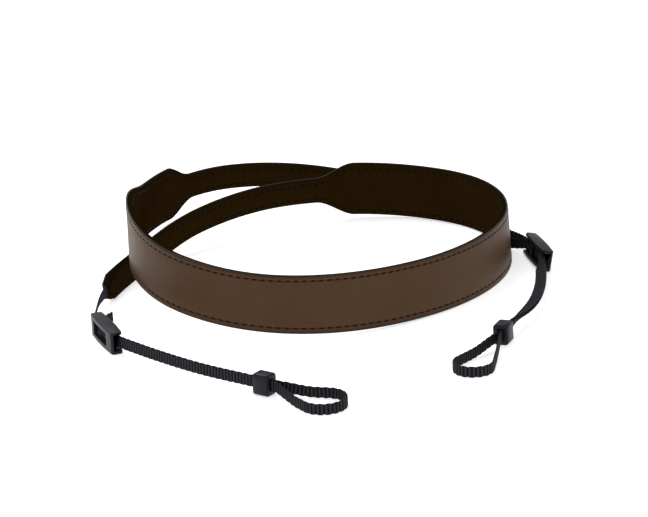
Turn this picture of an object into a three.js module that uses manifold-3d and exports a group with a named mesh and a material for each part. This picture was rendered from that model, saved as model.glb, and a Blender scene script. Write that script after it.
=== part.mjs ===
// A leather camera neck strap that stands on edge in a loose ring. Millimetres, +Z up, the floor at z = 0.
import * as THREE from "three";
import { mergeVertices } from "three/addons/utils/BufferGeometryUtils.js";
import Module from "manifold-3d";

// Leather. The length runs from tab tip to tab tip, and each tail's from its tab tip to its taper.
const leatherLength = 1120;
const bandWidth = 34.8;
const tailWidth = 16.4;
const tailLength = 208;
const taperLength = 26;
const outerThickness = 1.2;
const outerEdgeRoll = 0.6;
const liningThickness = 2.7;
const liningInset = 0.4;
const liningEdgeRoll = 0.5;
const seamInset = 3.3;
const seamWidth = 1;
const seamDepth = 0.4;
const crownRise = 0.3;
const crownRun = 3;
const crossingClearance = 1.5;

// Tabs. The webbing is held in a pocket of the lining, with a wall on either side of it.
const tabHold = 14;
const tabChamfer = 8;
const tabWall = 1.2;

// Webbing
const webbingWidth = 6.2;
const webbingThickness = 1.3;
const stubBend = 3;
const loopFlare = 16;

// Buckles. The channel is open at both ends, with its plate and window outside and its bar inside.
const buckleLength = 40.5;
const buckleHeight = 13;
const buckleDepth = 8.4;
const buckleBulge = 0.8;
const buckleCorner = 1.2;
const railThickness = 1.9;
const windowHeight = 8;
const windowStart = 7;
const windowLength = 24.5;
const barPlace = 15.4;
const barWidth = 2.4;
const barThickness = 1.3;
const stubPlace = 5;

// Keepers
const keeperLength = 10.2;
const keeperHeight = 12.2;
const keeperDepth = 9;
const keeperCorner = 1.4;
const keeperEdge = 0.8;

// Fits and fineness of the facets
const clearance = 0.3;
const leatherStep = 9;
const taperStep = 3.3;
const webbingStep = 7;
const bendStep = 3;
const curvePoints = 6;
const roundPoints = 3;

// The leather's course from the far tail's tab (0) to the near tail's tab (1), as shares of its length.
// heading is in degrees in plan, lean in degrees outwards. settle is 0 where the wide band stands on the
// floor and 1 where the narrow tail does, rise is 1 where the band clears the tail that passes under it.
const courseRows = [
  { at: 0.0, heading: -226, settle: 1, rise: 0, lean: 0 },
  { at: 0.063, heading: -214, settle: 0.6, rise: 0, lean: 1 },
  { at: 0.111, heading: -196, settle: 0.22, rise: 0.03, lean: 1 },
  { at: 0.16, heading: -157, settle: 0, rise: 0.08, lean: 0 },
  { at: 0.209, heading: -115, settle: 0, rise: 0.13, lean: -3 },
  { at: 0.258, heading: -97, settle: 0, rise: 0.42, lean: -4 },
  { at: 0.306, heading: -91, settle: 0, rise: 1, lean: 1 },
  { at: 0.356, heading: -76, settle: 0, rise: 0.97, lean: -3 },
  { at: 0.405, heading: -45, settle: 0, rise: 0.6, lean: -2 },
  { at: 0.454, heading: -13, settle: 0, rise: 0.26, lean: 0 },
  { at: 0.503, heading: 18, settle: 0, rise: 0.09, lean: -5 },
  { at: 0.551, heading: 39, settle: 0, rise: 0.02, lean: -4 },
  { at: 0.601, heading: 61, settle: 0, rise: 0, lean: -4 },
  { at: 0.649, heading: 85, settle: 0, rise: 0, lean: -3 },
  { at: 0.699, heading: 114, settle: 0, rise: 0, lean: 0 },
  { at: 0.748, heading: 151.5, settle: 0, rise: 0.02, lean: 3 },
  { at: 0.796, heading: 185, settle: 0, rise: 0.14, lean: 2 },
  { at: 0.846, heading: 208, settle: 0, rise: 0.21, lean: -3 },
  { at: 0.894, heading: 226, settle: 0.25, rise: 0.13, lean: -3 },
  { at: 0.944, heading: 244, settle: 0.85, rise: 0.01, lean: 6 },
  { at: 1.0, heading: 256, settle: 1, rise: 0, lean: 7 },
];

// Each webbing's course, as headings in plan at shares of the stretches that the rows name. A stretch ends
// where the next one starts. lean is in degrees outwards. inner is 1 where the ring is on the course's left.
const webbingCourses = {
  left: {
    end: 1,
    inner: 1,
    leadLength: 53,
    doubledLength: 106.5,
    leadSag: 0,
    stubSag: 0,
    stubLength: 13,
    loopLength: 46.5,
    loopRadius: 12.3,
    stubTurn: 48,
    rows: [
      { stretch: "lead", at: 0.2, heading: 260, lean: -8 },
      { stretch: "lead", at: 0.5, heading: 268, lean: -18 },
      { stretch: "lead", at: 0.85, heading: 270, lean: -16 },
      { stretch: "buckle", at: 0, heading: 286, lean: 0 },
      { stretch: "buckle", at: 0.2, heading: 292, lean: 0 },
      { stretch: "buckle", at: 0.6, heading: 292, lean: 0 },
      { stretch: "buckle", at: 0.9, heading: 307, lean: 0 },
      { stretch: "doubled", at: 0.2, heading: 312.5, lean: 0 },
      { stretch: "doubled", at: 0.5, heading: 316.5, lean: 0 },
      { stretch: "doubled", at: 0.8, heading: 323, lean: 0 },
      { stretch: "keeper", at: 0, heading: 322.5, lean: 0 },
      { stretch: "keeper", at: 1, heading: 324, lean: 0 },
    ],
  },
  right: {
    end: 0,
    inner: -1,
    leadLength: 80.5,
    doubledLength: 120.5,
    leadSag: 2.4,
    stubSag: 2.8,
    stubLength: 17,
    loopLength: 53,
    loopRadius: 11,
    stubTurn: 28,
    rows: [
      { stretch: "lead", at: 0.1, heading: -50, lean: 2 },
      { stretch: "lead", at: 0.35, heading: -69.5, lean: 24 },
      { stretch: "lead", at: 0.7, heading: -67, lean: 30 },
      { stretch: "buckle", at: 0, heading: -70, lean: 11 },
      { stretch: "buckle", at: 0.55, heading: -81, lean: 11 },
      { stretch: "buckle", at: 0.9, heading: -96, lean: 14 },
      { stretch: "doubled", at: 0.2, heading: -96, lean: 72 },
      { stretch: "doubled", at: 0.5, heading: -103, lean: 80 },
      { stretch: "doubled", at: 0.8, heading: -116, lean: 62 },
      { stretch: "keeper", at: 0, heading: -113, lean: 0 },
      { stretch: "keeper", at: 1, heading: -115, lean: 0 },
    ],
  },
};

const frontShare = 0.4768;
const leatherMaterial = { color: 0x503c2d, roughness: 0.5, metalness: 0 };
const liningMaterial = { color: 0x2a2214, roughness: 0.7, metalness: 0 };
const webbingMaterial = { color: 0x19161a, roughness: 0.95, metalness: 0 };
const plasticMaterial = { color: 0x3c3c40, roughness: 0.45, metalness: 0 };

const wasm = await Module();
wasm.setup();

// Rows of a table as one smooth function of length, which gives an object with the same columns.
function smoothCourse(rows, places, columns) {
  const values = rows.flatMap((row) => columns.map((column) => row[column]));
  const curve = new THREE.CubicInterpolant(places, values, columns.length);
  return (place) => {
    const found = curve.evaluate(THREE.MathUtils.clamp(place, places[0], places.at(-1)));
    return Object.fromEntries(columns.map((column, i) => [column, found[i]]));
  };
}

// Places from start to end with about the given step, both ends included.
function steps(start, end, step) {
  const count = Math.max(1, Math.ceil(Math.abs(end - start) / step));
  return Array.from({ length: count + 1 }, (_, i) => start + ((end - start) * i) / count);
}

// Walks along a course and returns a pose for each place: where the strip's middle is and how it is turned.
// poseAt gives the heading in degrees, the height of the middle and the lean.
function walk(places, poseAt, start) {
  const poses = [];
  let x = start.x;
  let y = start.y;
  places.forEach((place, i) => {
    const here = poseAt(place);
    if (i > 0) {
      const run = Math.abs(place - places[i - 1]);
      const climb = here.height - poses[i - 1].height;
      const level = Math.sqrt(run * run - climb * climb);
      const heading = THREE.MathUtils.degToRad(poseAt((place + places[i - 1]) / 2).heading);
      x += level * Math.cos(heading);
      y += level * Math.sin(heading);
    }
    poses.push({ ...here, place, x, y });
  });
  return poses;
}

// A pose's frame: along the strip, to its left side and up its width, as a matrix with the pose's place.
function frameOf(pose, climb = 0) {
  const heading = THREE.MathUtils.degToRad(pose.heading);
  const level = Math.sqrt(1 - climb * climb);
  const along = new THREE.Vector3(level * Math.cos(heading), level * Math.sin(heading), climb);
  const left = new THREE.Vector3(-Math.sin(heading), Math.cos(heading), 0);
  const up = along.clone().cross(left);
  const tilt = new THREE.Quaternion().setFromAxisAngle(along, THREE.MathUtils.degToRad(pose.lean));
  left.applyQuaternion(tilt);
  up.applyQuaternion(tilt);
  return new THREE.Matrix4().makeBasis(along, left, up).setPosition(pose.x, pose.y, pose.height);
}

// A closed strip: outlineAt gives each pose's section, counter-clockwise as [left, up] pairs. Its faces are
// all cut from the lower corner at one pose to the upper one at the next, so that two layers bend alike.
function loft(poses, outlineAt) {
  const points = [];
  const faces = [];
  let count = 0;
  poses.forEach((pose, i) => {
    const before = poses[Math.max(i - 1, 0)];
    const after = poses[Math.min(i + 1, poses.length - 1)];
    const run = Math.hypot(after.x - before.x, after.y - before.y, after.height - before.height);
    const frame = frameOf(pose, (after.height - before.height) / run);
    const outline = outlineAt(pose);
    count = outline.length;
    outline.forEach(([left, up]) => {
      points.push(...new THREE.Vector3(0, left, up).applyMatrix4(frame));
    });
    if (i === 0) return;
    outline.forEach(([, up], j) => {
      const next = (j + 1) % count;
      const a = (i - 1) * count + j;
      const b = (i - 1) * count + next;
      if (outline[next][1] > up) faces.push(a, b, b + count, a, b + count, a + count);
      else faces.push(a, b, a + count, b, b + count, a + count);
    });
  });
  const ends = [poses[0], poses.at(-1)];
  ends.forEach((pose, end) => {
    const contour = outlineAt(pose).map(([left, up]) => new THREE.Vector2(left, up));
    const first = end * (poses.length - 1) * count;
    THREE.ShapeUtils.triangulateShape(contour, []).forEach((face) => {
      const [a, b, c] = face.map((corner) => first + corner);
      faces.push(...(end === 1 ? [a, b, c] : [a, c, b]));
    });
  });
  const geometry = new THREE.BufferGeometry();
  geometry.setAttribute("position", new THREE.Float32BufferAttribute(points, 3));
  geometry.setIndex(faces);
  return geometry;
}

// Joining and cutting
function solidOf(geometry) {
  const bare = geometry.clone();
  bare.deleteAttribute("normal");
  bare.deleteAttribute("uv");
  const merged = mergeVertices(bare);
  return new wasm.Manifold(
    new wasm.Mesh({
      numProp: 3,
      vertProperties: new Float32Array(merged.attributes.position.array),
      triVerts: new Uint32Array(merged.index.array),
    }),
  );
}

function geometryOf(solid) {
  const mesh = solid.getMesh();
  const geometry = new THREE.BufferGeometry();
  geometry.setAttribute("position", new THREE.BufferAttribute(mesh.vertProperties, 3));
  geometry.setIndex(new THREE.BufferAttribute(mesh.triVerts, 1));
  return geometry;
}

function box(length, depth, height, x, y, z) {
  return solidOf(new THREE.BoxGeometry(length, depth, height).translate(x, y, z));
}

function meshOf(name, geometry, material) {
  geometry.computeVertexNormals();
  const mesh = new THREE.Mesh(geometry, new THREE.MeshStandardMaterial(material));
  mesh.name = name;
  return mesh;
}

// The leather's course and its width
const crossingRise = tailWidth + crossingClearance;
const readCourse = smoothCourse(
  courseRows,
  courseRows.map((row) => row.at * leatherLength),
  ["heading", "settle", "rise", "lean"],
);

function leatherPose(place) {
  const { heading, settle, rise, lean } = readCourse(place);
  const rest = THREE.MathUtils.lerp(bandWidth, tailWidth, settle) / 2;
  return { heading, lean, height: rest + Math.max(rise, 0) * crossingRise };
}

const pocketWidth = webbingWidth + 2 * clearance;
const tabTipWidth = pocketWidth + 2 * (tabWall + liningInset);
const fromEnd = (place) => Math.min(place, leatherLength - place);

function leatherWidth(place) {
  const taper = THREE.MathUtils.smoothstep(fromEnd(place), tailLength, tailLength + taperLength);
  const chamfer = THREE.MathUtils.clamp(fromEnd(place) / tabChamfer, 0, 1);
  const wide = THREE.MathUtils.lerp(tailWidth, bandWidth, taper);
  return THREE.MathUtils.lerp(tabTipWidth, wide, chamfer);
}

function leatherPlaces() {
  const half = leatherLength / 2;
  const nearEnd = [
    ...steps(0, tabChamfer, tabChamfer),
    ...steps(tabChamfer, tailLength, leatherStep).slice(1),
    ...steps(tailLength, tailLength + taperLength, taperStep).slice(1),
    ...steps(tailLength + taperLength, half, leatherStep).slice(1),
  ];
  const mirrored = nearEnd.slice(0, -1).map((place) => leatherLength - place);
  return [...nearEnd, ...mirrored.reverse()];
}

const middle = (outerThickness + clearance + liningThickness) / 2;
const outerFace = -middle;
const outerBack = outerFace + outerThickness;
const liningBack = outerBack + clearance;
const liningFace = middle;

// The outer layer has rolled edges. Its smooth face looks out of the ring.
function outerOutline({ place }) {
  const half = leatherWidth(place) / 2;
  const roll = outerEdgeRoll;
  const right = [
    [outerBack, -half + roll / 2],
    [outerFace + roll, -half],
    [outerFace, -half + roll],
  ];
  const outline = [...right, ...right.map(([left, up]) => [left, -up]).reverse()];
  return outline.reverse();
}

// The lining's inner face is crowned between two seams that are pressed into it.
function liningOutline({ place }) {
  const half = leatherWidth(place) / 2 - liningInset;
  const seam = Math.min(seamInset, half / 2);
  const edge = liningFace - crownRise;
  const lower = [
    [liningBack, -half],
    [edge - liningEdgeRoll, -half],
    [edge, -half + liningEdgeRoll],
    [edge, -half + seam - seamWidth / 2],
    [edge - seamDepth, -half + seam],
    [edge, -half + seam + seamWidth / 2],
    [liningFace, Math.min(-half + seam + crownRun, -seamWidth / 2)],
  ];
  const upper = lower.map(([left, up]) => [left, -up]).reverse();
  return [...lower, ...upper];
}

const leatherPoses = walk(leatherPlaces(), leatherPose, { x: 0, y: 0 });
const frontPlace = frontShare * leatherLength;
const frontPose = leatherPoses.find((pose) => pose.place >= frontPlace);
const frontX = frontPose.x;
const frontY = frontPose.y;
leatherPoses.forEach((pose) => {
  pose.x -= frontX;
  pose.y -= frontY;
});

// The far tail is walked backwards, so that both webbings start in their tabs and run outwards.
function tailPose(end, distance) {
  const place = end === 1 ? leatherLength - distance : distance;
  const after = leatherPoses.findIndex((pose) => pose.place >= place);
  const [a, b] = [leatherPoses[Math.max(after - 1, 0)], leatherPoses[Math.max(after, 1)]];
  const share = (place - a.place) / (b.place - a.place);
  const sense = end === 1 ? 0 : 180;
  return {
    x: THREE.MathUtils.lerp(a.x, b.x, share),
    y: THREE.MathUtils.lerp(a.y, b.y, share),
    height: THREE.MathUtils.lerp(a.height, b.height, share),
    heading: THREE.MathUtils.lerp(a.heading, b.heading, share) + sense,
    lean: (end === 1 ? 1 : -1) * THREE.MathUtils.lerp(a.lean, b.lean, share),
  };
}

// A pose moved to its left by an offset, square to its leaning face.
function shifted(pose, offset) {
  const heading = THREE.MathUtils.degToRad(pose.heading);
  const lean = THREE.MathUtils.degToRad(pose.lean);
  const level = offset * Math.cos(lean);
  const x = pose.x - level * Math.sin(heading);
  const y = pose.y + level * Math.cos(heading);
  return { ...pose, x, y, height: pose.height + offset * Math.sin(lean) };
}

// Poses along a flat path that starts at a pose and lies in its plan frame, mirrored for an inner side at
// the right. heightAt gives the height of the middle as a function of the distance ahead of the pose.
function follow(path, count, base, side, heightAt) {
  const heading = THREE.MathUtils.degToRad(base.heading);
  return path.getSpacedPoints(count).map((point, i) => {
    const tangent = path.getTangentAt(i / count);
    const left = side * point.y;
    return {
      x: base.x + point.x * Math.cos(heading) - left * Math.sin(heading),
      y: base.y + point.x * Math.sin(heading) + left * Math.cos(heading),
      height: heightAt(point.x),
      heading: base.heading + THREE.MathUtils.radToDeg(Math.atan2(side * tangent.y, tangent.x)),
      lean: 0,
    };
  });
}

const layerPitch = webbingThickness + clearance;
const webbingRoom = layerPitch + webbingThickness + 2 * clearance;
const floorHeight = webbingWidth / 2;

// The lug loop in plan, from the outer layer's end to the inner layer's: it flares, turns and comes back.
function loopPath({ loopLength, loopRadius }) {
  const half = layerPitch / 2;
  const centre = loopLength - loopRadius;
  const flareCentre = half + loopFlare;
  const span = Math.hypot(centre, flareCentre);
  const angle = Math.asin((loopFlare + loopRadius) / span) - Math.atan2(flareCentre, centre);
  const quarter = Math.PI / 2;
  const path = new THREE.Path();
  path.absarc(0, -flareCentre, loopFlare, quarter, quarter - angle, true);
  path.absarc(centre, 0, loopRadius, -quarter - angle, quarter + angle, false);
  path.absarc(0, flareCentre, loopFlare, -quarter + angle, -quarter, true);
  return path;
}

// The free end's stub in plan: it leaves the inner layer and turns out of the buckle's open side.
function stubPath({ stubTurn, stubLength }) {
  const turn = THREE.MathUtils.degToRad(stubTurn);
  const path = new THREE.Path();
  path.absarc(0, stubBend, stubBend, -Math.PI / 2, -Math.PI / 2 + turn, false);
  const end = path.getPoint(1);
  path.lineTo(end.x + stubLength * Math.cos(turn), end.y + stubLength * Math.sin(turn));
  return path;
}

// One side's webbing: its poses, and the poses of its buckle and keeper.
function layWebbing(course) {
  const { end, inner, leadLength, doubledLength, leadSag, rows } = course;
  const lengths = { lead: leadLength, buckle: buckleLength, doubled: doubledLength, keeper: keeperLength };
  const held = tailPose(end, tabHold);
  const tip = tailPose(end, 0);
  const buckleLean = THREE.MathUtils.degToRad(rows.find((row) => row.stretch === "buckle").lean);
  const buckleRest = (buckleHeight * Math.cos(buckleLean) + buckleDepth * Math.sin(buckleLean)) / 2;
  const heights = {
    lead: [tip.height, buckleRest],
    buckle: [buckleRest, buckleRest],
    doubled: [buckleRest, keeperHeight / 2],
    keeper: [keeperHeight / 2, keeperHeight / 2],
  };
  const starts = {};
  let reach = tabHold;
  Object.entries(lengths).forEach(([name, length]) => {
    starts[name] = reach;
    reach += length;
  });
  const places = rows.map((row) => starts[row.stretch] + row.at * lengths[row.stretch]);
  const offset = inner * (liningBack + webbingThickness / 2);
  const leaning = rows.map((row) => ({ ...row, lean: inner * row.lean }));
  const read = smoothCourse([held, tip, ...leaning], [0, tabHold, ...places], ["heading", "lean"]);

  const heightAt = (place) => {
    if (place <= tabHold) return THREE.MathUtils.lerp(held.height, tip.height, place / tabHold);
    const name = Object.keys(lengths).findLast((key) => place >= starts[key]);
    const share = Math.min((place - starts[name]) / lengths[name], 1);
    const sag = name === "lead" ? leadSag * Math.sin(Math.PI * share) ** 2 : 0;
    return THREE.MathUtils.lerp(...heights[name], THREE.MathUtils.smoothstep(share, 0, 1)) - sag;
  };
  const poseAt = (place) => ({ ...read(place), height: heightAt(place) });
  const stops = [0, tabHold, ...Object.keys(lengths).map((name) => starts[name] + lengths[name])];
  const runs = stops.slice(1).map((stop, i) => steps(stops[i], stop, webbingStep).slice(1));
  const along = [0, ...runs.flat()];
  const layer = walk(along, poseAt, shifted(held, offset));

  const away = (pose, place) => Math.abs(pose.place - place);
  const nearer = (place) => (best, pose) => (away(pose, place) < away(best, place) ? pose : best);
  const poseNear = (place) => layer.reduce(nearer(place));
  const keeperEnd = layer.at(-1);
  const loopBase = shifted(keeperEnd, (inner * layerPitch) / 2);
  const loopDrop = (ahead) => {
    const share = THREE.MathUtils.clamp(ahead / (course.loopLength / 2), 0, 1);
    return THREE.MathUtils.lerp(keeperHeight / 2, floorHeight, THREE.MathUtils.smoothstep(share, 0, 1));
  };
  const path = loopPath(course);
  const loopCount = Math.ceil(path.getLength() / bendStep);
  const loop = follow(path, loopCount, loopBase, inner, loopDrop);

  const stubStart = starts.buckle + stubPlace;
  const back = layer.filter((pose) => pose.place > stubStart + webbingThickness);
  const backward = back.map((pose) => {
    const moved = shifted(pose, inner * layerPitch);
    return { ...moved, heading: pose.heading + 180, lean: -pose.lean };
  });
  backward.reverse();
  const buckleAxis = poseNear(starts.buckle + buckleLength / 2);
  const radians = THREE.MathUtils.degToRad(buckleAxis.heading);
  const ahead = starts.buckle + stubPlace - buckleAxis.place;
  const stubBase = shifted(
    {
      x: buckleAxis.x + ahead * Math.cos(radians),
      y: buckleAxis.y + ahead * Math.sin(radians),
      height: buckleAxis.height,
      heading: buckleAxis.heading,
      lean: buckleAxis.lean,
    },
    inner * layerPitch,
  );
  const free = stubPath(course);
  const stubDrop = (ahead) =>
    stubBase.height - course.stubSag * THREE.MathUtils.smoothstep(ahead, 0, course.stubLength);
  const stub = follow(
    free,
    Math.ceil(free.getLength() / (bendStep / 2)),
    { ...stubBase, heading: stubBase.heading + 180 },
    -inner,
    stubDrop,
  );
  stub.forEach((pose) => {
    pose.lean = -buckleAxis.lean;
  });
  const poses = [...layer, ...loop.slice(1), ...backward.slice(1), ...stub];
  return { poses, inner, starts, poseNear };
}

function webbingOutline() {
  const [half, edge] = [webbingThickness / 2, webbingWidth / 2];
  return [
    [-half, -edge],
    [half, -edge],
    [half, edge],
    [-half, edge],
  ];
}

// A buckle in its own frame: x along the webbing, +y towards the inner side, z up.
function buckleSolid(inner) {
  const [halfLength, halfDepth] = [buckleLength / 2, buckleDepth / 2];
  const side = halfDepth - buckleBulge;
  const shape = new THREE.Shape();
  shape.moveTo(-halfLength + buckleCorner, -side * inner);
  shape.quadraticCurveTo(0, -(side + 2 * buckleBulge) * inner, halfLength - buckleCorner, -side * inner);
  shape.lineTo(halfLength, -(side - buckleCorner) * inner);
  shape.lineTo(halfLength, (side - buckleCorner) * inner);
  shape.lineTo(halfLength - buckleCorner, side * inner);
  shape.quadraticCurveTo(0, (side + 2 * buckleBulge) * inner, -halfLength + buckleCorner, side * inner);
  shape.lineTo(-halfLength, (side - buckleCorner) * inner);
  shape.lineTo(-halfLength, -(side - buckleCorner) * inner);
  const block = new THREE.ExtrudeGeometry(shape, {
    depth: buckleHeight,
    bevelEnabled: false,
    curveSegments: curvePoints,
  }).translate(0, 0, -buckleHeight / 2);
  const channelHeight = buckleHeight - 2 * railThickness;
  const channelMiddle = (buckleDepth / 2 - webbingRoom / 2) * inner;
  const windowMiddle = -halfLength + windowStart + windowLength / 2;
  const barMiddle = ((webbingRoom + barThickness) / 2) * inner;
  return solidOf(block)
    .subtract(box(buckleLength * 2, buckleDepth, channelHeight, 0, channelMiddle, 0))
    .subtract(box(windowLength, buckleDepth, windowHeight, windowMiddle, -halfDepth * inner, 0))
    .add(box(barWidth, barThickness, buckleHeight - railThickness, -halfLength + barPlace, barMiddle, 0));
}

// A keeper in its own frame: a block with soft edges and a slot for both layers of webbing.
function keeperSolid() {
  const halfY = keeperDepth / 2 - keeperEdge;
  const halfZ = keeperHeight / 2 - keeperEdge;
  const corner = keeperCorner;
  const shape = new THREE.Shape();
  shape.moveTo(-halfZ + corner, -halfY);
  shape.lineTo(halfZ - corner, -halfY);
  shape.quadraticCurveTo(halfZ, -halfY, halfZ, -halfY + corner);
  shape.lineTo(halfZ, halfY - corner);
  shape.quadraticCurveTo(halfZ, halfY, halfZ - corner, halfY);
  shape.lineTo(-halfZ + corner, halfY);
  shape.quadraticCurveTo(-halfZ, halfY, -halfZ, halfY - corner);
  shape.lineTo(-halfZ, -halfY + corner);
  shape.quadraticCurveTo(-halfZ, -halfY, -halfZ + corner, -halfY);
  const block = new THREE.ExtrudeGeometry(shape, {
    depth: keeperLength - 2 * keeperEdge,
    bevelThickness: keeperEdge,
    bevelSize: keeperEdge,
    bevelSegments: 2,
    curveSegments: roundPoints,
  });
  block.translate(0, 0, keeperEdge - keeperLength / 2).rotateY(Math.PI / 2);
  return solidOf(block).subtract(box(keeperLength * 2, webbingRoom, pocketWidth, 0, 0, 0));
}

// A cut for one tab's pocket: the webbing's room, from its inner end to past the tab's tip.
function pocketSolid(end) {
  const reach = [tabHold + clearance, tabHold / 2, 0, -tabHold / 2];
  const poses = reach.map((distance) => {
    const pose = tailPose(end, Math.max(distance, 0));
    const heading = THREE.MathUtils.degToRad(pose.heading);
    const beyond = Math.max(-distance, 0);
    return { ...pose, x: pose.x + beyond * Math.cos(heading), y: pose.y + beyond * Math.sin(heading) };
  });
  const side = end === 1 ? 1 : -1;
  const near = outerBack + clearance / 2;
  const far = liningBack + webbingThickness + clearance;
  const [low, high] = [Math.min(side * near, side * far), Math.max(side * near, side * far)];
  const half = pocketWidth / 2;
  return solidOf(
    loft(poses, () => [
      [low, -half],
      [high, -half],
      [high, half],
      [low, half],
    ]),
  );
}

const strap = new THREE.Group();
strap.add(meshOf("outer_leather", loft(leatherPoses, outerOutline), leatherMaterial));
const lining = solidOf(loft(leatherPoses, liningOutline))
  .subtract(pocketSolid(0))
  .subtract(pocketSolid(1));
strap.add(meshOf("lining_leather", geometryOf(lining), liningMaterial));

Object.entries(webbingCourses).forEach(([name, course]) => {
  const { poses, inner, starts, poseNear } = layWebbing(course);
  strap.add(meshOf(name + "_webbing", loft(poses, webbingOutline), webbingMaterial));
  const fittings = {
    buckle: [geometryOf(buckleSolid(inner)), starts.buckle + buckleLength / 2],
    keeper: [geometryOf(keeperSolid()), starts.keeper + keeperLength / 2],
  };
  Object.entries(fittings).forEach(([kind, [geometry, place]]) => {
    const mesh = meshOf(name + "_" + kind, geometry, plasticMaterial);
    const pose = shifted(poseNear(place), (inner * layerPitch) / 2);
    mesh.applyMatrix4(frameOf(pose));
    strap.add(mesh);
  });
});

// The frame's origin is under the middle of the strap's box, on the floor.
const bounds = new THREE.Box3().setFromObject(strap, true);
const centre = bounds.getCenter(new THREE.Vector3());
strap.position.set(-centre.x, -centre.y, -bounds.min.z);

export default strap;
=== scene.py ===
import math
from collections import namedtuple

import bpy
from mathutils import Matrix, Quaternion, Vector


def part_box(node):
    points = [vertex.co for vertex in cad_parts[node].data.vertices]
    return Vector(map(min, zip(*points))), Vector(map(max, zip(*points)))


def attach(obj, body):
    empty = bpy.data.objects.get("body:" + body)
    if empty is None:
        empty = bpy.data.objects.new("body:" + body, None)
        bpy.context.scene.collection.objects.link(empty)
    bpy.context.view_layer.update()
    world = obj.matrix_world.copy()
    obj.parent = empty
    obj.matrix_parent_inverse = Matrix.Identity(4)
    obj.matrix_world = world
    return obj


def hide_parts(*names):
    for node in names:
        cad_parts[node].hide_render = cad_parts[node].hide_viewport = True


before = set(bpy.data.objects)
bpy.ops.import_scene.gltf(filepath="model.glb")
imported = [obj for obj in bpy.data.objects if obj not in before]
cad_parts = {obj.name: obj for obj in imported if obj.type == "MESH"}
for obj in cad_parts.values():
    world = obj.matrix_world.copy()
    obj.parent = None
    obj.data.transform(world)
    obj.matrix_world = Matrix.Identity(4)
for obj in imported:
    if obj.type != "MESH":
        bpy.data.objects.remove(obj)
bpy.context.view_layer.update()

# Camera. It stands in front of the ring and looks down on it, rolled by a few degrees. The focal length
# comes from the photograph, whose width is given in pixels.
mm = 0.001
view_down = math.radians(18)
view_distance = 1611 * mm
view_roll = math.radians(-2.67)
view_target = Vector((-1.2, 65.7, 0)) * mm
photo_width = 648
photo_focal_length = 2564
sensor_width = 36

bpy.ops.object.select_all(action="DESELECT")
away = Vector((0, -math.cos(view_down), math.sin(view_down))) * view_distance
bpy.ops.object.camera_add(location=view_target + away)
camera = bpy.context.object
camera.name = "camera"
camera.rotation_mode = "ZYX"
camera.rotation_euler = (math.pi / 2 - view_down, 0, view_roll)
camera.data.sensor_width = sensor_width
camera.data.lens = photo_focal_length * sensor_width / photo_width
camera.data.clip_start = 10 * mm
camera.data.clip_end = 20
bpy.context.scene.camera = camera


# Floor and light. The strap stands on a plain white table in a white room, so its shadows are faint. One
# wide lamp over the back left and two lower ones in front give the leather its soft shine.
floor_size = 8
floor_gap = 0.1 * mm
floor_glow = 0.55
room_strength = 0.6


def linear(code):
    """A colour written as six hexadecimal digits, as the linear values that a shader takes."""
    parts = [int(code[i:i + 2], 16) / 255 for i in (0, 2, 4)]
    return [p / 12.92 if p <= 0.04045 else ((p + 0.055) / 1.055) ** 2.4 for p in parts] + [1]


def new_material(name, colour, roughness, shine=0.5):
    """A material with its plain shader, and the nodes and links that the rest is added to."""
    made = bpy.data.materials.new(name)
    made.use_nodes = True
    shader = made.node_tree.nodes["Principled BSDF"]
    shader.inputs["Base Color"].default_value = linear(colour)
    shader.inputs["Roughness"].default_value = roughness
    shader.inputs["Specular IOR Level"].default_value = shine
    made.diffuse_color = linear(colour)
    return made, shader, made.node_tree.nodes, made.node_tree.links


bpy.ops.mesh.primitive_plane_add(size=floor_size, location=(0, 0, -floor_gap))
floor = bpy.context.object
floor.name = "floor"
floor_white, shader, _, _ = new_material("floor_white", "fafafa", 0.9)
shader.inputs["Emission Color"].default_value = linear("ffffff")
shader.inputs["Emission Strength"].default_value = floor_glow
floor.data.materials.append(floor_white)

room = bpy.data.worlds.new("white_room")
room.use_nodes = True
room.node_tree.nodes["Background"].inputs["Color"].default_value = linear("ffffff")
room.node_tree.nodes["Background"].inputs["Strength"].default_value = room_strength
bpy.context.scene.world = room
bpy.context.scene.view_settings.view_transform = "Standard"

lamps = {
    "back_lamp": {"place": (-0.5, 0.9, 1.5), "size": 1.2, "power": 14},
    "left_front_lamp": {"place": (-1.3, -0.9, 0.7), "size": 0.8, "power": 4},
    "right_front_lamp": {"place": (1.4, -1.0, 0.7), "size": 0.8, "power": 4},
}
for name, lamp in lamps.items():
    bpy.ops.object.light_add(type="AREA", location=lamp["place"])
    light = bpy.context.object
    light.name = name
    light.data.shape = "DISK"
    light.data.size = lamp["size"]
    light.data.energy = lamp["power"]
    light.rotation_euler = Vector(lamp["place"]).to_track_quat("Z", "Y").to_euler()


# Outer leather. One long strip of smooth brown leather, cut wide for the band and narrow for the tails,
# with rolled edges. It is sewn to the lining along both edges, and each stitch pulls it in a little.
leather_length = 1120
band_width = 34.8
tail_width = 16.4
tail_length = 208
taper_length = 26
outer_thickness = 1.2
layer_gap = 0.3
lining_thickness = 2.7
seam_inset = 3.3
stitch_pitch = 4.8
crossing_clearance = 1.5
tab_hold = 14
tab_chamfer = 8
tab_tip_width = 10
leather_step = 9
taper_step = 3.3
fine_step = 0.8

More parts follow.
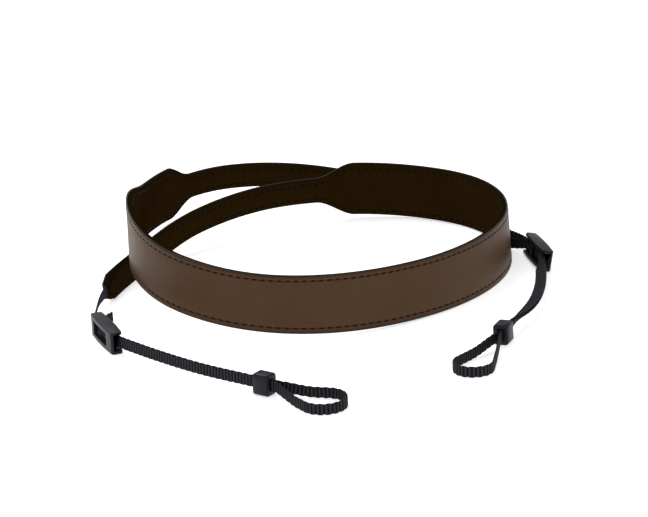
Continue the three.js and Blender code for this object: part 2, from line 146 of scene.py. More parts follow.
# The course of the leather in plan, from the far tail's tab (0) to the near tail's tab (1).
course_columns = ("at", "heading", "settle", "rise", "lean")
course_rows = (
    (0.0, -226, 1, 0, 0),
    (0.063, -214, 0.6, 0, 1),
    (0.111, -196, 0.22, 0.03, 1),
    (0.16, -157, 0, 0.08, 0),
    (0.209, -115, 0, 0.13, -3),
    (0.258, -97, 0, 0.42, -4),
    (0.306, -91, 0, 1, 1),
    (0.356, -76, 0, 0.97, -3),
    (0.405, -45, 0, 0.6, -2),
    (0.454, -13, 0, 0.26, 0),
    (0.503, 18, 0, 0.09, -5),
    (0.551, 39, 0, 0.02, -4),
    (0.601, 61, 0, 0, -4),
    (0.649, 85, 0, 0, -3),
    (0.699, 114, 0, 0, 0),
    (0.748, 151.5, 0, 0.02, 3),
    (0.796, 185, 0, 0.14, 2),
    (0.846, 208, 0, 0.21, -3),
    (0.894, 226, 0.25, 0.13, -3),
    (0.944, 244, 0.85, 0.01, 6),
    (1.0, 256, 1, 0, 7),
)
Pose = namedtuple("Pose", "place x y height heading lean")


def smooth_column(places, values):
    """Values at places as one smooth function of place."""
    runs = [b - a for a, b in zip(places, places[1:])]
    rates = [(b - a) / run for a, b, run in zip(values, values[1:], runs)]
    slopes = [(a + b) / 2 for a, b in zip([rates[0]] + rates, rates + [rates[-1]])]

    def read(place):
        i = max(sum(start <= place for start in places[:-1]) - 1, 0)
        t = min(max((place - places[i]) / runs[i], 0), 1)
        ease = t * t * (3 - 2 * t)
        bend = slopes[i] * t * (1 - t) ** 2 - slopes[i + 1] * t * t * (1 - t)
        return values[i] + (values[i + 1] - values[i]) * ease + bend * runs[i]

    return read


def steps(start, end, step):
    """Places from start to end with about the given step, both ends included."""
    count = max(1, math.ceil(abs(end - start) / step))
    return [start + (end - start) * i / count for i in range(count + 1)]


def ease_between(place, start, end):
    t = min(max((place - start) / (end - start), 0), 1)
    return t * t * (3 - 2 * t)


def walk(places, pose_at, x, y):
    """Poses along a course. pose_at gives the height, heading and lean at a place."""
    poses = []
    for i, place in enumerate(places):
        height, heading, lean = pose_at(place)
        if i > 0:
            run = place - places[i - 1]
            level = math.sqrt(run * run - (height - poses[-1].height) ** 2)
            turned = math.radians(pose_at((place + places[i - 1]) / 2)[1])
            x += level * math.cos(turned)
            y += level * math.sin(turned)
        poses.append(Pose(place, x, y, height, heading, lean))
    return poses


def refined(poses, places):
    """The same course with a pose at each of the places."""
    stations = [pose.place for pose in poses]
    columns = [smooth_column(stations, column) for column in list(zip(*poses))[1:]]
    return [Pose(place, *(column(place) for column in columns)) for place in places]


def directions(poses):
    """Each pose's middle, its direction to the left side and its direction up the strip's width."""
    found = []
    for i, pose in enumerate(poses):
        before, after = poses[max(i - 1, 0)], poses[min(i + 1, len(poses) - 1)]
        step = Vector((after.x - before.x, after.y - before.y, after.height - before.height))
        climb = step.z / step.length
        level = math.sqrt(1 - climb * climb)
        heading = math.radians(pose.heading)
        along = Vector((level * math.cos(heading), level * math.sin(heading), climb))
        left = Vector((-math.sin(heading), math.cos(heading), 0))
        tilt = Quaternion(along, math.radians(pose.lean))
        middle = Vector((pose.x, pose.y, pose.height))
        found.append((middle, tilt @ left, tilt @ along.cross(left)))
    return found


def leather_width(place):
    end = min(place, leather_length - place)
    taper = ease_between(end, tail_length, tail_length + taper_length)
    wide = tail_width + (band_width - tail_width) * taper
    return tab_tip_width + (wide - tab_tip_width) * min(end / tab_chamfer, 1)


course = {
    column: smooth_column([row[0] * leather_length for row in course_rows], [row[i] for row in course_rows])
    for i, column in enumerate(course_columns)
}


def leather_pose(place):
    settle, rise = course["settle"](place), max(course["rise"](place), 0)
    rest = (band_width + (tail_width - band_width) * settle) / 2
    height = rest + rise * (tail_width + crossing_clearance)
    return height, course["heading"](place), course["lean"](place)


def leather_places():
    """The places at which the strap's solids have their sections."""
    taper_end = tail_length + taper_length
    half = steps(0, tab_chamfer, tab_chamfer)
    half += steps(tab_chamfer, tail_length, leather_step)[1:]
    half += steps(tail_length, taper_end, taper_step)[1:]
    half += steps(taper_end, leather_length / 2, leather_step)[1:]
    return half + [leather_length - place for place in reversed(half[:-1])]


outer_face = -(outer_thickness + layer_gap + lining_thickness) / 2
outer_back = outer_face + outer_thickness
lining_back = outer_back + layer_gap
lining_face = -outer_face

# The course is laid from its start, then moved so that it lies where the strap's solid lies.
raw_poses = walk(leather_places(), leather_pose, 0, 0)
corners = []
for pose, (middle, left, up) in zip(raw_poses, directions(raw_poses)):
    half = leather_width(pose.place) / 2
    for side in (-1, 1):
        corners.append(middle + left * outer_face + up * side * (half - outer_thickness / 2))
        corners.append(middle + left * outer_back + up * side * (half - outer_thickness / 4))
solid_low, solid_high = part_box("outer_leather")
course_low = Vector((min(c.x for c in corners), min(c.y for c in corners)))
course_high = Vector((max(c.x for c in corners), max(c.y for c in corners)))
shift_x = ((solid_low.x + solid_high.x) / mm - course_low.x - course_high.x) / 2
shift_y = ((solid_low.y + solid_high.y) / mm - course_low.y - course_high.y) / 2
leather_poses = [pose._replace(x=pose.x + shift_x, y=pose.y + shift_y) for pose in raw_poses]


merge_distance = 0.001 * mm
smooth_angle = math.radians(40)


def lay_strip(name, poses, outline_at, marks=("edge", "seam")):
    """A closed strip along the poses. outline_at gives the section at a place as (left, up, *marks) rows,
    counter-clockwise. Its UV map holds the place along the strip and round the section, in metres."""
    outlines = [outline_at(pose.place) for pose in poses]
    count = len(outlines[0])
    bpy.ops.object.select_all(action="DESELECT")
    bpy.ops.mesh.primitive_grid_add(x_subdivisions=len(poses) - 1, y_subdivisions=count, size=1)
    strip = bpy.context.object
    strip.name = name
    mesh = strip.data
    station = [round((v.co.x + 0.5) * (len(poses) - 1)) for v in mesh.vertices]
    corner = [round((v.co.y + 0.5) * count) for v in mesh.vertices]
    frames = directions(poses)
    for vertex, i, j in zip(mesh.vertices, station, corner):
        middle, left, up = frames[i]
        row = outlines[i][j % count]
        vertex.co = (middle + left * row[0] + up * row[1]) * mm
    for k, mark in enumerate(marks):
        values = mesh.attributes.new(mark, "FLOAT", "POINT")
        values.data.foreach_set("value", [outlines[i][j % count][2 + k] for i, j in zip(station, corner)])
    round_it = [0]
    section = outlines[len(outlines) // 2]
    for a, b in zip(section, section[1:] + section[:1]):
        round_it.append(round_it[-1] + math.hypot(b[0] - a[0], b[1] - a[1]))
    for loop, uv in zip(mesh.loops, mesh.uv_layers.active.data):
        i, j = station[loop.vertex_index], corner[loop.vertex_index]
        uv.uv = (poses[i].place * mm, round_it[j] * mm)
    bpy.ops.object.mode_set(mode="EDIT")
    bpy.ops.mesh.select_all(action="SELECT")
    bpy.ops.mesh.remove_doubles(threshold=merge_distance)
    bpy.ops.mesh.fill_holes(sides=0)
    bpy.ops.mesh.select_all(action="SELECT")
    bpy.ops.mesh.normals_make_consistent(inside=False)
    bpy.ops.object.mode_set(mode="OBJECT")
    bpy.ops.object.shade_smooth_by_angle(angle=smooth_angle)
    strip.location = (0, 0, 0)
    return strip


seam_width = 1.5
seam_depth = 0.3
seam_least_pull = 0.1
edge_turns = 5
outer_edge_tone = 0.6

# A seam's channel across: the share of its half width, of its depth and of its darker tone, painted shade
# in the groove.
seam_channel = ((-1, 0, 0), (-0.5, 0.5, 0.6), (0, 1, 1), (0.5, 0.5, 0.6), (1, 0, 0))


def seam_pull(place):
    """How far the seam is pulled in at a place: most where a stitch goes in, least under its middle."""
    wave = (1 + math.cos(2 * math.pi * place / stitch_pitch)) / 2
    return seam_least_pull + (1 - seam_least_pull) * wave


def outer_outline(place):
    half = leather_width(place) / 2
    radius = outer_thickness / 2
    depth = seam_depth * seam_pull(place)
    seam = half - seam_inset
    face = [(outer_face, seam / 2, 0, 0)]
    for offset, pull, seamed in seam_channel:
        face.append((outer_face + depth * pull, seam + offset * seam_width / 2, 0, seamed))
    edge = []
    for i in range(edge_turns + 1):
        turn = math.pi * i / edge_turns
        left = outer_face + radius - radius * math.cos(turn)
        edged = outer_edge_tone + (1 - outer_edge_tone) * math.sin(turn)
        edge.append((left, half - radius + radius * math.sin(turn), edged, 0))
    back = [(outer_back, (half - radius) / 2, 0, 0)]
    upper = face + edge + back
    lower = [(left, -up, edged, seamed) for left, up, edged, seamed in reversed(upper)]
    # Counter-clockwise, with left as the first axis: up the back, then down the smooth face.
    return list(reversed(lower + [(outer_face, 0, 0, 0)] + upper))


fine_places = steps(0, leather_length, fine_step)
fine_poses = refined(leather_poses, fine_places)
outer_leather = lay_strip("outer_leather_skin", fine_poses, outer_outline)
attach(outer_leather, "root")
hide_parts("outer_leather")


def noise_in(tree, place, scale, detail):
    """A noise texture in a tree, read at a place."""
    noise = tree.nodes.new("ShaderNodeTexNoise")
    noise.inputs["Scale"].default_value = scale
    noise.inputs["Detail"].default_value = detail
    tree.links.new(place, noise.inputs["Vector"])
    return noise.outputs["Fac"]


def mixed(tree, factor, a, b, kind="RGBA", blend="MIX"):
    """A mix of two colours or values. Each may be a socket or a plain value."""
    mix = tree.nodes.new("ShaderNodeMix")
    mix.data_type = kind
    if kind == "RGBA":
        mix.blend_type = blend
    suffix = {"RGBA": "_Color", "FLOAT": "_Float"}[kind]
    slots = ("A" + suffix, "B" + suffix, "Result" + suffix)
    ends = {socket.identifier: socket for socket in mix.inputs}
    ends["Factor"] = ends["Factor_Float"]
    for value, end in ((factor, "Factor"), (a, slots[0]), (b, slots[1])):
        if isinstance(value, bpy.types.NodeSocket):
            tree.links.new(value, ends[end])
        else:
            ends[end].default_value = value
    return next(socket for socket in mix.outputs if socket.identifier == slots[2])


def ranged(tree, value, source, target):
    """A value mapped from one range to another, clamped."""
    node = tree.nodes.new("ShaderNodeMapRange")
    tree.links.new(value, node.inputs["Value"])
    for label, ends in (("From", source), ("To", target)):
        node.inputs[label + " Min"].default_value = ends[0]
        node.inputs[label + " Max"].default_value = ends[1]
    return node.outputs["Result"]


def grain_group():
    """Leather grain: fine pores and creases as a height, and a slow drift of tone."""
    tree = bpy.data.node_groups.new("leather_grain", "ShaderNodeTree")
    for label in ("Height", "Tone"):
        tree.interface.new_socket(label, in_out="OUTPUT", socket_type="NodeSocketFloat")
    end = tree.nodes.new("NodeGroupOutput")
    place = tree.nodes.new("ShaderNodeTexCoord").outputs["Object"]
    cells = tree.nodes.new("ShaderNodeTexVoronoi")
    cells.feature = "DISTANCE_TO_EDGE"
    cells.inputs["Scale"].default_value = 1400
    tree.links.new(place, cells.inputs["Vector"])
    creases = ranged(tree, cells.outputs["Distance"], (0, 0.25), (0, 1))
    fine = noise_in(tree, place, scale=900, detail=3)
    height = mixed(tree, factor=0.45, a=creases, b=fine, kind="FLOAT")
    tree.links.new(height, end.inputs["Height"])
    broad = noise_in(tree, place, scale=28, detail=3)
    small = noise_in(tree, place, scale=260, detail=2)
    drift = mixed(tree, factor=0.35, a=broad, b=small, kind="FLOAT")
    tree.links.new(ranged(tree, drift, (0.3, 0.7), (0, 1)), end.inputs["Tone"])
    return tree


def group_node(nodes, tree):
    """A node that holds a node group."""
    node = nodes.new("ShaderNodeGroup")
    node.node_tree = tree
    return node


def marked(nodes, mark):
    """A mark of the mesh, as a value."""
    node = nodes.new("ShaderNodeAttribute")
    node.attribute_name = mark
    return node.outputs["Fac"]


def bump(tree, height, shader, distance, strength):
    """A height given to a shader as its normal."""
    node = tree.nodes.new("ShaderNodeBump")
    node.inputs["Strength"].default_value = strength
    node.inputs["Distance"].default_value = distance
    tree.links.new(height, node.inputs["Height"])
    tree.links.new(node.outputs["Normal"], shader.inputs["Normal"])


leather_grain = grain_group()
outer_brown, shader, nodes, links = new_material("outer_leather_brown", "48321d", 0.46, shine=0.14)
tree = outer_brown.node_tree
grain = group_node(nodes, leather_grain)
tone = mixed(tree, grain.outputs["Tone"], linear("452f1a"), linear("4c3521"))
# The rolled edges are much darker than the face: painted shade where they turn away from the light.
edge_toned = mixed(tree, marked(nodes, "edge"), tone, linear("1a1008"))
# The seam channels are darker too: painted shade in the grooves.
seam_shaded = mixed(tree, marked(nodes, "seam"), edge_toned, linear("38230f"))
links.new(seam_shaded, shader.inputs["Base Color"])
links.new(ranged(tree, grain.outputs["Tone"], (0, 1), (0.4, 0.52)), shader.inputs["Roughness"])
bump(tree, grain.outputs["Height"], shader, distance=0.06 * mm, strength=0.5)
outer_leather.data.materials.append(outer_brown)


# Lining leather. A thicker, dull strip of dark leather on the inner side, a little narrower than the outer
# one. It swells softly between its two seams, and holds the webbing in a slot at each tab.
lining_inset = 0.4
lining_swell = 0.3
lining_seam_depth = 0.45
lining_edge_radius = 0.9
lining_edge_tone = 0.4
back_chamfer_depth = 0.5
back_chamfer_width = 0.4
slot_width = 6.8
slot_depth = 1.6
slot_draft = 0.05
slot_reach = tab_hold + layer_gap

# The swell across: the share of the way from the middle to the seam, and the share of its height.
swell_rows = ((0.35, 1), (0.7, 0.9))


def lining_outline(place):
    half = leather_width(place) / 2 - lining_inset
    seam = max(half + lining_inset - seam_inset, half / 3)
    depth = lining_seam_depth * seam_pull(place)
    edge_face = lining_face - lining_swell
    radius = lining_edge_radius
    upper = []
    for share, swell in swell_rows:
        upper.append((edge_face + lining_swell * swell, seam * share, 0, 0))
    for offset, pull, seamed in seam_channel:
        upper.append((edge_face - depth * pull, seam + offset * seam_width / 2, 0, seamed))
    for i in range(edge_turns):
        turn = math.pi / 2 * i / (edge_turns - 1)
        left = edge_face - radius + radius * math.cos(turn)
        edged = lining_edge_tone + (1 - lining_edge_tone) * math.sin(turn)
        upper.append((left, half - radius + radius * math.sin(turn), edged, 0))
    upper.append((lining_back + back_chamfer_depth, half, 1, 0))
    upper.append((lining_back, half - back_chamfer_width, 1, 0))
    end = min(place, leather_length - place)
    recess = slot_depth if end < slot_reach else 0
    upper.append((lining_back, slot_width / 2, 0, 0))
    upper.append((lining_back + recess, slot_width / 2 - slot_draft, 0, 0))
    lower = [(left, -up, edged, seamed) for left, up, edged, seamed in reversed(upper)]
    return lower + [(lining_face, 0, 0, 0)] + upper


lining_leather = lay_strip("lining_leather_skin", fine_poses, lining_outline)
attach(lining_leather, "root")
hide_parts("lining_leather")

lining_dark, shader, nodes, links = new_material("lining_leather_dark", "221607", 0.7, shine=0)
tree = lining_dark.node_tree
grain = group_node(nodes, leather_grain)
tone = mixed(tree, grain.outputs["Tone"], linear("201405"), linear("251907"))
# Its edges take a duller olive tone.
edge_toned = mixed(tree, marked(nodes, "edge"), tone, linear("1a1508"))
# Its seam channels are darker: painted shade in the grooves.
seam_shaded = mixed(tree, marked(nodes, "seam"), edge_toned, linear("140c04"))
links.new(seam_shaded, shader.inputs["Base Color"])
bump(tree, grain.outputs["Height"], shader, distance=0.05 * mm, strength=0.6)
lining_leather.data.materials.append(lining_dark)


# Stitches. Waxed dark brown thread sews the two leathers together along both edges. Each stitch shows on
# both faces as a short, slightly slanted bead that sinks into the seam at its ends.
stitch_length = 3.1
stitch_width = 1.35
stitch_height = 0.7
stitch_slant = math.radians(7)
outer_stitch_sink = 0.35 * seam_depth
lining_stitch_sink = 0.1
look_ahead = 1
stitch_sides = 6
stitch_rings = 4
seam_end = 5

bpy.ops.object.select_all(action="DESELECT")
bpy.ops.mesh.primitive_uv_sphere_add(segments=stitch_sides, ring_count=stitch_rings, radius=0.5)
one_stitch = bpy.context.object
bpy.ops.transform.rotate(value=math.pi / 2, orient_axis="Y", center_override=(0, 0, 0))
bpy.ops.object.transform_apply(location=True, rotation=True, scale=True)
stitch_points = [v.co.copy() for v in one_stitch.data.vertices]
stitch_faces = [tuple(p.vertices) for p in one_stitch.data.polygons]
bpy.data.objects.remove(one_stitch)

stitch_first = math.ceil(seam_end / stitch_pitch) + 0.5
stitch_count = int((leather_length - seam_end) / stitch_pitch - stitch_first)
stitch_middles = [(stitch_first + i) * stitch_pitch for i in range(stitch_count)]
points, faces = [], []
stitch_poses = refined(leather_poses, stitch_middles)
next_poses = refined(leather_poses, [place + look_ahead for place in stitch_middles])
stitch_frames = zip(stitch_poses, directions(stitch_poses), directions(next_poses))
for pose, (middle, left, up), (ahead, _, _) in stitch_frames:
    half = leather_width(pose.place) / 2
    along = (ahead - middle).normalized()
    slope = leather_width(pose.place + look_ahead) / 2 - half
    for side in (-1, 1):
        for depth_at in (outer_face + outer_stitch_sink, lining_face - lining_swell - lining_stitch_sink):
            seat = middle + left * depth_at + up * side * (half - seam_inset)
            run = (along + up * side * slope + up * side * math.sin(stitch_slant)).normalized()
            across = left.cross(run).normalized()
            first = len(points)
            for co in stitch_points:
                lengthwise = run * co.x * stitch_length
                sideways = across * co.y * stitch_width + left * co.z * stitch_height
                points.append((seat + lengthwise + sideways) * mm)
            faces += [tuple(first + corner for corner in face) for face in stitch_faces]
stitch_mesh = bpy.data.meshes.new("seam_stitches")
stitch_mesh.from_pydata(points, [], faces)
stitches = bpy.data.objects.new("seam_stitches", stitch_mesh)
bpy.context.collection.objects.link(stitches)
bpy.context.view_layer.objects.active = stitches
bpy.ops.object.select_all(action="DESELECT")
stitches.select_set(True)
bpy.ops.object.mode_set(mode="EDIT")
bpy.ops.mesh.select_all(action="SELECT")
bpy.ops.mesh.normals_make_consistent(inside=False)
bpy.ops.object.mode_set(mode="OBJECT")
bpy.ops.object.shade_smooth()
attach(stitches, "root")

thread_brown, shader, nodes, links = new_material("thread_brown", "120802", 0.6, shine=0.05)
tree = thread_brown.node_tree
place_in = nodes.new("ShaderNodeTexCoord").outputs["Object"]
fibres = noise_in(tree, place_in, scale=3500, detail=2)
links.new(mixed(tree, fibres, linear("180a02"), linear("2a1406")), shader.inputs["Base Color"])
bump(tree, fibres, shader, distance=0.05 * mm, strength=0.6)
stitches.data.materials.append(thread_brown)


# Webbing. Flat black woven nylon with ribs across it and scalloped edges. It starts in the slot of a tab,
# runs through the buckle and the keeper, turns in the lug loop and comes back, and its free end pokes out.
webbing_width = 6.5
webbing_thickness = 1.3
stub_bend = 3
stub_place = 5
loop_flare = 16
buckle_length = 40.5
buckle_height = 13
buckle_depth = 8.4
keeper_length = 10.2
keeper_height = 12.2
webbing_step = 7
bend_step = 3
path_step = 0.1
rib_pitch = 2.2
rib_depth = 0.32
rib_sharpness = 0.7
scallop_depth = 0.4
rib_points = 5
layer_pitch = webbing_thickness + layer_gap

# A quarter of the webbing's section: the shares of its half thickness, its half width and its edge tone.
webbing_quarter = ((1, 0.45, 0), (0.97, 0.8, 0), (0.8, 0.95, 0.7), (0.3, 1, 1))

# Each row gives a stretch, the share of its length, and the heading and lean there, in degrees.
webbings = {
    "left": {
        "end": 1,
        "inner": 1,
        "lead": 53,
        "lead_sag": 0,
        "doubled": 106.5,
        "loop_length": 46.5,
        "loop_radius": 12.3,
        "stub_length": 13,
        "stub_turn": 48,
        "stub_sag": 0,
        "rows": (
            ("lead", 0.2, 260, -8),
            ("lead", 0.5, 268, -18),
            ("lead", 0.85, 270, -16),
            ("buckle", 0, 286, 0),
            ("buckle", 0.2, 292, 0),
            ("buckle", 0.6, 292, 0),
            ("buckle", 0.9, 307, 0),
            ("doubled", 0.2, 312.5, 0),
            ("doubled", 0.5, 316.5, 0),
            ("doubled", 0.8, 323, 0),
            ("keeper", 0, 322.5, 0),
            ("keeper", 1, 324, 0),
        ),
    },
    "right": {
        "end": 0,
        "inner": -1,
        "lead": 80.5,
        "lead_sag": 2.4,
        "doubled": 120.5,
        "loop_length": 53,
        "loop_radius": 11,
        "stub_length": 17,
        "stub_turn": 28,
        "stub_sag": 2.8,
        "rows": (
            ("lead", 0.1, -50, 2),
            ("lead", 0.35, -69.5, 24),
            ("lead", 0.7, -67, 30),
            ("buckle", 0, -70, 11),
            ("buckle", 0.55, -81, 11),
            ("buckle", 0.9, -96, 14),
            ("doubled", 0.2, -96, 72),
            ("doubled", 0.5, -103, 80),
            ("doubled", 0.8, -116, 62),
            ("keeper", 0, -113, 0),
            ("keeper", 1, -115, 0),
        ),
    },
}


def tail_pose(end, distance):
    """The leather's pose at a distance from a tab's tip, facing out of the tab."""
    place = leather_length - distance if end == 1 else distance
    after = next(i for i, pose in enumerate(leather_poses) if pose.place >= place)
    a, b = leather_poses[max(after - 1, 0)], leather_poses[max(after, 1)]
    share = (place - a.place) / (b.place - a.place)
    pose = Pose(*(p + (q - p) * share for p, q in zip(a, b)))
    return pose if end == 1 else pose._replace(heading=pose.heading + 180, lean=-pose.lean)


def shifted(pose, offset):
    """A pose moved to its left by an offset, square to its leaning face."""
    heading, lean = math.radians(pose.heading), math.radians(pose.lean)
    level = offset * math.cos(lean)
    x, y = pose.x - level * math.sin(heading), pose.y + level * math.cos(heading)
    return pose._replace(x=x, y=y, height=pose.height + offset * math.sin(lean))


def arc(x, y, radius, start, end):
    """Close points on an arc from one angle to another."""
    turns = steps(start, end, path_step / radius)
    return [(x + radius * math.cos(turn), y + radius * math.sin(turn)) for turn in turns]


def follow(path, base, side, height_at, lean):
    """Poses along a flat path, given as (ahead, aside) points, that starts at a pose."""
    heading = math.radians(base.heading)
    lengths = [0]
    for a, b in zip(path, path[1:]):
        lengths.append(lengths[-1] + math.dist(a, b))
    count = math.ceil(lengths[-1] / bend_step)
    poses = []
    i = 0
    for step in range(count * rib_points + 1):
        wanted = lengths[-1] * step / (count * rib_points)
        while i < len(path) - 2 and lengths[i + 1] < wanted:
            i += 1
        (ax, ay), (bx, by) = path[i], path[i + 1]
        share = (wanted - lengths[i]) / (lengths[i + 1] - lengths[i])
        ahead, aside = ax + (bx - ax) * share, side * (ay + (by - ay) * share)
        x = base.x + ahead * math.cos(heading) - aside * math.sin(heading)
        y = base.y + ahead * math.sin(heading) + aside * math.cos(heading)
        turned = base.heading + math.degrees(math.atan2(side * (by - ay), bx - ax))
        poses.append(Pose(wanted, x, y, height_at(ahead), turned, lean))
    return poses


def lug_loop(loop_length, loop_radius):
    """The loop in plan: it flares from the outer layer, turns round and comes back to the inner layer."""
    centre = loop_length - loop_radius
    flare_centre = layer_pitch / 2 + loop_flare
    span = math.hypot(centre, flare_centre)
    angle = math.asin((loop_flare + loop_radius) / span) - math.atan2(flare_centre, centre)
    quarter = math.pi / 2
    out = arc(0, -flare_centre, loop_flare, quarter, quarter - angle)
    turn = arc(centre, 0, loop_radius, -quarter - angle, quarter + angle)
    back = arc(0, flare_centre, loop_flare, angle - quarter, -quarter)
    return joined(out, joined(turn, back))


def joined(first, second):
    """Two runs of points with a straight run of close points between them."""
    (ax, ay), (bx, by) = first[-1], second[0]
    shares = steps(0, 1, path_step / max(math.dist(first[-1], second[0]), path_step))
    bridge = [(ax + (bx - ax) * t, ay + (by - ay) * t) for t in shares[1:-1]]
    return first + bridge + second


def free_end(turn, length):
    """The free end in plan: it turns out of the buckle's open side and runs straight."""
    bend = arc(0, stub_bend, stub_bend, -math.pi / 2, -math.pi / 2 + turn)
    x, y = bend[-1]
    straight = steps(0, length, path_step)[1:]
    return bend + [(x + t * math.cos(turn), y + t * math.sin(turn)) for t in straight]


def lay_webbing(side):
    """One side's webbing as a course of poses."""
    plan = webbings[side]
    end, inner = plan["end"], plan["inner"]
    lengths = {"lead": plan["lead"], "buckle": buckle_length}
    lengths.update({"doubled": plan["doubled"], "keeper": keeper_length})
    held, tip = tail_pose(end, tab_hold), tail_pose(end, 0)
    buckle_lean = math.radians(next(row[3] for row in plan["rows"] if row[0] == "buckle"))
    buckle_rest = (buckle_height * math.cos(buckle_lean) + buckle_depth * math.sin(buckle_lean)) / 2
    heights = {
        "lead": (tip.height, buckle_rest),
        "buckle": (buckle_rest, buckle_rest),
        "doubled": (buckle_rest, keeper_height / 2),
        "keeper": (keeper_height / 2, keeper_height / 2),
    }
    starts, reach = {}, tab_hold
    for name, length in lengths.items():
        starts[name] = reach
        reach += length
    places = [0, tab_hold] + [starts[row[0]] + row[1] * lengths[row[0]] for row in plan["rows"]]
    heading = smooth_column(places, [held.heading, tip.heading] + [row[2] for row in plan["rows"]])
    lean = smooth_column(places, [held.lean, tip.lean] + [inner * row[3] for row in plan["rows"]])

    def pose_at(place):
        if place <= tab_hold:
            height = held.height + (tip.height - held.height) * place / tab_hold
        else:
            name = next(key for key in reversed(list(starts)) if place >= starts[key])
            low, high = heights[name]
            height = low + (high - low) * ease_between(place, starts[name], starts[name] + lengths[name])
            if name == "lead":
                height -= plan["lead_sag"] * math.sin(math.pi * (place - tab_hold) / plan["lead"]) ** 2
        return height, heading(place), lean(place)

    stops = [0, tab_hold] + [starts[name] + lengths[name] for name in lengths]
    stations = [0]
    for start, stop in zip(stops, stops[1:]):
        stations += steps(start, stop, webbing_step)[1:]
    first = shifted(held, inner * (lining_back + webbing_thickness / 2))
    layer = walk(stations, pose_at, first.x, first.y)

    def near(place):
        return min(layer, key=lambda pose: abs(pose.place - place))

    keeper_end = layer[-1]
    floor_height = webbing_width / 2
    drop = keeper_height / 2 - floor_height

    def loop_height(ahead):
        return keeper_height / 2 - drop * ease_between(ahead, 0, plan["loop_length"] / 2)

    loop_start = shifted(keeper_end, inner * layer_pitch / 2)
    loop = follow(lug_loop(plan["loop_length"], plan["loop_radius"]), loop_start, inner, loop_height, 0)
    axis = near(starts["buckle"] + buckle_length / 2)
    ahead = starts["buckle"] + stub_place - axis.place
    radians = math.radians(axis.heading)
    base = axis._replace(x=axis.x + ahead * math.cos(radians), y=axis.y + ahead * math.sin(radians))
    base = shifted(base, inner * layer_pitch)._replace(heading=axis.heading + 180)

    def stub_height(ahead):
        return base.height - plan["stub_sag"] * ease_between(ahead, 0, plan["stub_length"])

    stub_path = free_end(math.radians(plan["stub_turn"]), plan["stub_length"])
    stub = follow(stub_path, base, -inner, stub_height, -axis.lean)

    fine = rib_pitch / rib_points
    out = refined(layer, steps(0, keeper_end.place, fine))
    back_start = starts["buckle"] + stub_place + webbing_thickness
    back = reversed(refined(layer, steps(back_start, keeper_end.place, fine)))
    back = [shifted(pose, inner * layer_pitch) for pose in back]
    back = [pose._replace(heading=pose.heading + 180, lean=-pose.lean) for pose in back]
    poses, total = [], 0
    for pose in out + loop[1:] + back[1:] + stub[1:]:
        if poses:
            total += math.dist(pose[1:4], poses[-1][1:4])
        poses.append(pose._replace(place=total))
    return poses


def webbing_outline(place):
    """Ribs swell the faces once a pitch, and the edges bulge once every two ribs."""
    rib = abs(math.sin(math.pi * place / rib_pitch)) ** rib_sharpness
    bulge = abs(math.sin(math.pi * place / (2 * rib_pitch)))
    face = webbing_thickness / 2 - rib_depth * (1 - rib)
    half = webbing_width / 2 - scallop_depth * (1 - bulge)
    upper = []
    for depth, rise, edged in webbing_quarter:
        upper.append((face * depth, half * rise, edged, rib))
    upper += [(-left, up, edged, ribbed) for left, up, edged, ribbed in reversed(upper)]
    lower = [(-left, -up, edged, ribbed) for left, up, edged, ribbed in upper]
    return upper + lower


webbing_black, shader, nodes, links = new_material("webbing_black", "141215", 0.75, shine=0.12)
tree = webbing_black.node_tree
place_in = nodes.new("ShaderNodeTexCoord").outputs["UV"]
threads = nodes.new("ShaderNodeTexWave")
threads.wave_type = "BANDS"
threads.bands_direction = "Y"
threads.inputs["Scale"].default_value = 560
threads.inputs["Distortion"].default_value = 1.5
links.new(place_in, threads.inputs["Vector"])
fuzz_place = nodes.new("ShaderNodeTexCoord").outputs["Object"]
fuzz = noise_in(tree, fuzz_place, scale=1800, detail=3)
# The rib tops are painted lighter and the grooves between them darker: painted highlight and painted shade.
rib_highlight_mask = ranged(tree, marked(nodes, "rib"), (0.6, 1), (0, 1))
rib_highlight_and_shade = mixed(tree, rib_highlight_mask, linear("050406"), linear("3c3640"))
fuzzed_rib_highlight_and_shade = mixed(tree, fuzz, rib_highlight_and_shade, linear("302c33"), blend="MULTIPLY")
links.new(mixed(tree, factor=0.35, a=rib_highlight_and_shade, b=fuzzed_rib_highlight_and_shade), shader.inputs["Base Color"])
weave = mixed(tree, factor=0.4, a=threads.outputs["Fac"], b=fuzz, kind="FLOAT")
bump(tree, weave, shader, distance=0.12 * mm, strength=0.7)

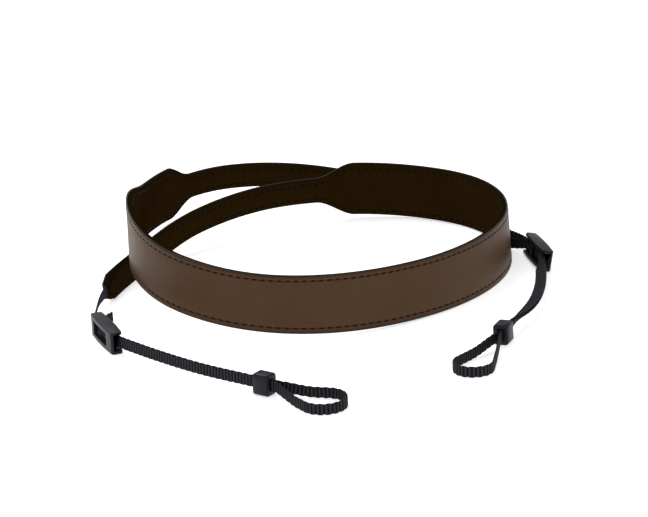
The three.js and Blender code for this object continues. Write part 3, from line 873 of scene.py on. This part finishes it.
for side in webbings:
    webbing = lay_strip(side + "_webbing_weave", lay_webbing(side), webbing_outline, marks=("edge", "rib"))
    webbing.data.materials.append(webbing_black)
    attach(webbing, "root")
    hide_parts(side + "_webbing")


# Buckles and keepers. Moulded dark grey nylon with small rounded edges and a fine grain. Each buckle is an
# open channel with a window in its outer plate and a bar across its inner side; each keeper is a block.
moulded_round = 0.35
moulded_corner = math.radians(35)
flat_angle = math.radians(2)
plastic_grey, shader, nodes, links = new_material("moulded_grey", "17131a", 0.38, shine=0.14)
tree = plastic_grey.node_tree
place_in = nodes.new("ShaderNodeTexCoord").outputs["Object"]
grain_fine = noise_in(tree, place_in, scale=2600, detail=2)
drift = noise_in(tree, place_in, scale=120, detail=2)
links.new(mixed(tree, drift, linear("17131a"), linear("211c24")), shader.inputs["Base Color"])
bump(tree, grain_fine, shader, distance=0.03 * mm, strength=0.5)


def moulded_copy(node, name):
    """A copy of a moulded solid with its flat faces made whole and its edges rounded."""
    bpy.ops.object.select_all(action="DESELECT")
    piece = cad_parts[node].copy()
    piece.data = piece.data.copy()
    bpy.context.collection.objects.link(piece)
    piece.name = name
    piece.data.materials.clear()
    piece.select_set(True)
    bpy.context.view_layer.objects.active = piece
    bpy.ops.object.mode_set(mode="EDIT")
    bpy.ops.mesh.select_all(action="SELECT")
    bpy.ops.mesh.remove_doubles(threshold=merge_distance)
    bpy.ops.mesh.dissolve_limited(angle_limit=flat_angle)
    bpy.ops.object.mode_set(mode="OBJECT")
    rounding = piece.modifiers.new("rounded edges", "BEVEL")
    rounding.width = moulded_round * mm
    rounding.segments = 3
    rounding.limit_method = "ANGLE"
    rounding.angle_limit = moulded_corner
    bpy.ops.object.modifier_apply(modifier=rounding.name)
    bpy.ops.object.shade_smooth_by_angle(angle=moulded_corner)
    return piece


for side in webbings:
    for kind in ("buckle", "keeper"):
        moulded = moulded_copy(side + "_" + kind, side + "_" + kind + "_moulding")
        moulded.data.materials.append(plastic_grey)
        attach(moulded, "root")
        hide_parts(side + "_" + kind)
